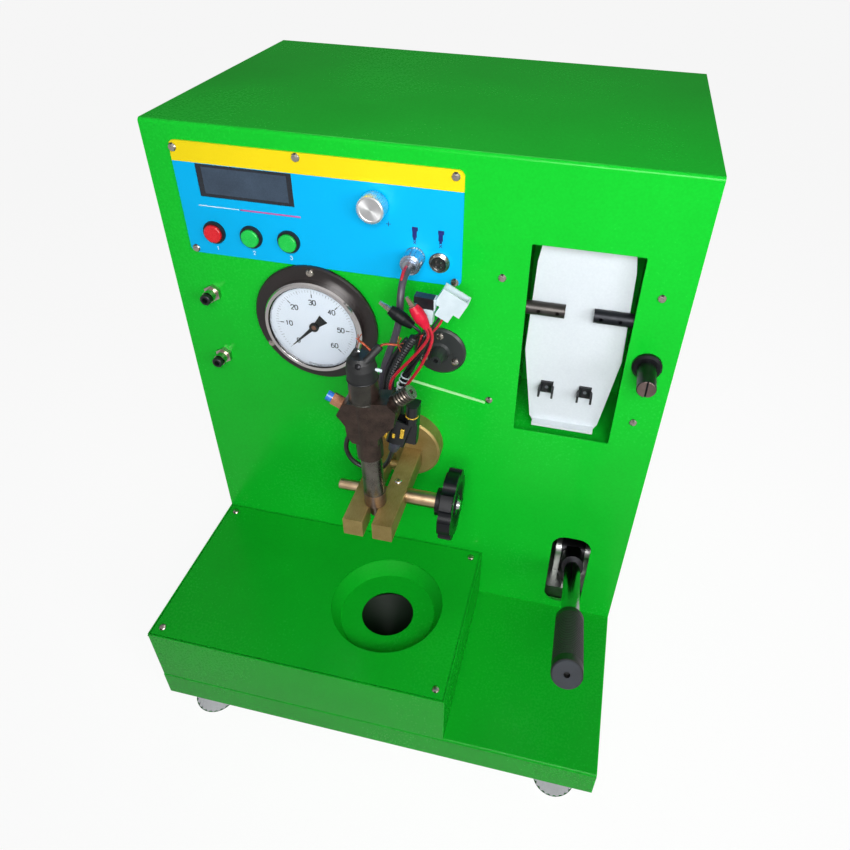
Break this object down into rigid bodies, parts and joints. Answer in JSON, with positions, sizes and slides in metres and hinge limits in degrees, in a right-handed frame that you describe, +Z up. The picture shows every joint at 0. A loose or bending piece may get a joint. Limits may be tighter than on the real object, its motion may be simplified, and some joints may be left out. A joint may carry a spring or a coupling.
{
  "type": "diesel injector tester",
  "caption": "Bench tester for diesel injectors: sheet cabinet with tray, lever pump, pressure gauge, injector clamp, driver controls and a tilting measuring-tube board.",
  "frame": {"origin": "on the bench under the feet, at the middle of the footprint of cabinet and resting lever", "axes": "+X to the operator's right, +Y from the operator to the rear cover, +Z up"},
  "size_m": [0.52, 0.5752, 0.663],
  "materials": {
    "green_paint": "glossy bright green powder coat",
    "plate_paint": "printed blue plate with a yellow header",
    "zinc_steel": "plain zinc plated steel",
    "yellow_zinc": "yellow passivated zinc",
    "chrome": "polished chromium",
    "nickel": "nickel plated brass",
    "aluminium": "turned aluminium",
    "black_plastic": "moulded black plastic",
    "black_rubber": "black vinyl cord jacket",
    "black_steel": "blackened steel",
    "bright_steel": "bright drawn steel",
    "phosphated_steel": "dark phosphated steel with wear",
    "red_plastic": "glossy red",
    "green_plastic": "glossy green",
    "white_paint": "white enamel",
    "white_plastic": "natural white nylon",
    "dial_enamel": "matt white dial",
    "glass": "clear glass",
    "circuit": "green circuit board",
    "tank_plastic": "natural polyethylene"
  },
  "bodies": {
    "cabinet": {"front_and_top_sheet": "green_paint", "left_side_panel": "green_paint", "right_side_panel": "green_paint", "tray_pan": "green_paint", "base_plate": "green_paint", "rear_cover": "green_paint", "panel_screws": "chrome", "collecting_box": "green_paint", "box_cover": "green_paint", "drip_dish": "green_paint", "drain_funnel": "zinc_steel", "levelling_feet": "chrome", "control_plate": "plate_paint", "display_module": "black_plastic", "button_housings": "black_plastic", "socket_shells": "nickel", "harness_plug": "chrome", "gauge_case": "black_steel", "gauge_bezel": "chrome", "gauge_dial": "dial_enamel", "gauge_glass": "glass", "bulkhead_fittings": "nickel", "outlet_nozzle": "black_plastic", "window_recess": "green_paint", "relief_valve_body": "black_steel", "pump_body": "zinc_steel", "clamp_boss": "yellow_zinc", "fixed_jaw": "yellow_zinc", "fuel_tank": "tank_plastic", "driver_board": "circuit", "pressure_pipes": "bright_steel", "mains_inlet": "black_plastic", "main_lead": "black_rubber", "tied_bundle": "black_rubber", "harness_leads": "black_rubber", "connector_lead": "black_rubber", "crocodile_clips": "black_plastic", "white_connectors": "white_plastic", "injector_connector": "black_plastic"},
    "lever": {"lever_head": "black_steel", "lever_rod": "bright_steel", "lever_grip": "black_rubber"},
    "plunger": {"pump_plunger": "bright_steel"},
    "red_button": {"red_stop_button": "red_plastic"},
    "left_green_button": {"green_button_left": "green_plastic"},
    "right_green_button": {"green_button_right": "green_plastic"},
    "knob": {"pulse_knob": "aluminium"},
    "pointer": {"gauge_pointer": "black_steel"},
    "upper_collar": {"upper_release_collar": "black_plastic"},
    "lower_collar": {"lower_release_collar": "black_plastic"},
    "board": {"tube_board": "white_paint", "board_shafts": "black_steel", "tube_clips": "black_plastic"},
    "valve_spindle": {"relief_valve_spindle": "black_steel"},
    "jaw": {"moving_jaw": "yellow_zinc"},
    "screw": {"clamp_screw": "yellow_zinc", "handwheel": "black_plastic"},
    "injector": {"injector_body": "phosphated_steel"},
    "coupling_nut": {"plug_coupling_nut": "chrome"},
    "rocker": {"mains_rocker": "red_plastic"}
  },
  "joints": [
    {"name": "lever_pivot", "type": "hinge", "parent": "cabinet", "child": "lever", "pos_m": [0.202, 0.01161, 0.12801], "axis": [1, 0, 0], "range_deg": [0, 37], "stiffness_Nm_per_rad": 6, "springref_deg": -28.65},
    {"name": "plunger_stroke", "type": "slide", "parent": "cabinet", "child": "plunger", "axis": [0, 0, -1], "range_m": [0, 0.01524]},
    {"name": "red_button_press", "type": "slide", "parent": "cabinet", "child": "red_button", "axis": [0, 1, 0], "range_m": [0, 0.0022], "stiffness_N_per_m": 400, "springref_m": -0.001},
    {"name": "left_green_button_press", "type": "slide", "parent": "cabinet", "child": "left_green_button", "axis": [0, 1, 0], "range_m": [0, 0.0022], "stiffness_N_per_m": 400, "springref_m": -0.001},
    {"name": "right_green_button_press", "type": "slide", "parent": "cabinet", "child": "right_green_button", "axis": [0, 1, 0], "range_m": [0, 0.0022], "stiffness_N_per_m": 400, "springref_m": -0.001},
    {"name": "knob_turn", "type": "hinge", "parent": "cabinet", "child": "knob", "pos_m": [-0.034, -0.04639, 0.6086], "axis": [0, 1, 0], "range_deg": [-150, 150]},
    {"name": "pointer_sweep", "type": "hinge", "parent": "cabinet", "child": "pointer", "pos_m": [-0.104, -0.04639, 0.47], "axis": [0, 1, 0], "range_deg": [0, 270], "stiffness_Nm_per_rad": 0.0006, "springref_deg": -17.19},
    {"name": "upper_collar_press", "type": "slide", "parent": "cabinet", "child": "upper_collar", "axis": [0, 1, 0], "range_m": [0, 0.0012], "stiffness_N_per_m": 500, "springref_m": -0.0005},
    {"name": "lower_collar_press", "type": "slide", "parent": "cabinet", "child": "lower_collar", "axis": [0, 1, 0], "range_m": [0, 0.0012], "stiffness_N_per_m": 500, "springref_m": -0.0005},
    {"name": "board_tilt", "type": "hinge", "parent": "cabinet", "child": "board", "pos_m": [0.162, -0.03589, 0.516], "axis": [-1, 0, 0], "range_deg": [0, 115]},
    {"name": "valve_turn", "type": "hinge", "parent": "cabinet", "child": "valve_spindle", "pos_m": [0.2336, -0.04639, 0.4748], "axis": [0, -1, 0], "range_deg": [0, 720]},
    {"name": "jaw_slide", "type": "slide", "parent": "cabinet", "child": "jaw", "axis": [1, 0, 0], "range_m": [0, 0.01]},
    {"name": "clamp_screw_turn", "type": "hinge", "parent": "jaw", "child": "screw", "pos_m": [0, -0.12639, 0.32], "axis": [1, 0, 0], "range_deg": [0, 2057.13]},
    {"name": "injector_lift", "type": "slide", "parent": "cabinet", "child": "injector", "axis": [0, 0, 1], "range_m": [0, 0.11]},
    {"name": "coupling_nut_turn", "type": "hinge", "parent": "cabinet", "child": "coupling_nut", "pos_m": [0.0028, -0.04639, 0.5605], "axis": [0, -1, 0], "range_deg": [0, 540]},
    {"name": "rocker_tip", "type": "hinge", "parent": "cabinet", "child": "rocker", "pos_m": [0.17, 0.28311, 0.16], "axis": [1, 0, 0], "range_deg": [-10, 10]}
  ],
  "couplings": [
    {"joint": "plunger_stroke", "follows": "lever_pivot", "m_per_rad": 0.023585},
    {"joint": "jaw_slide", "follows": "clamp_screw_turn", "m_per_rad": 0.00027852}
  ]
}
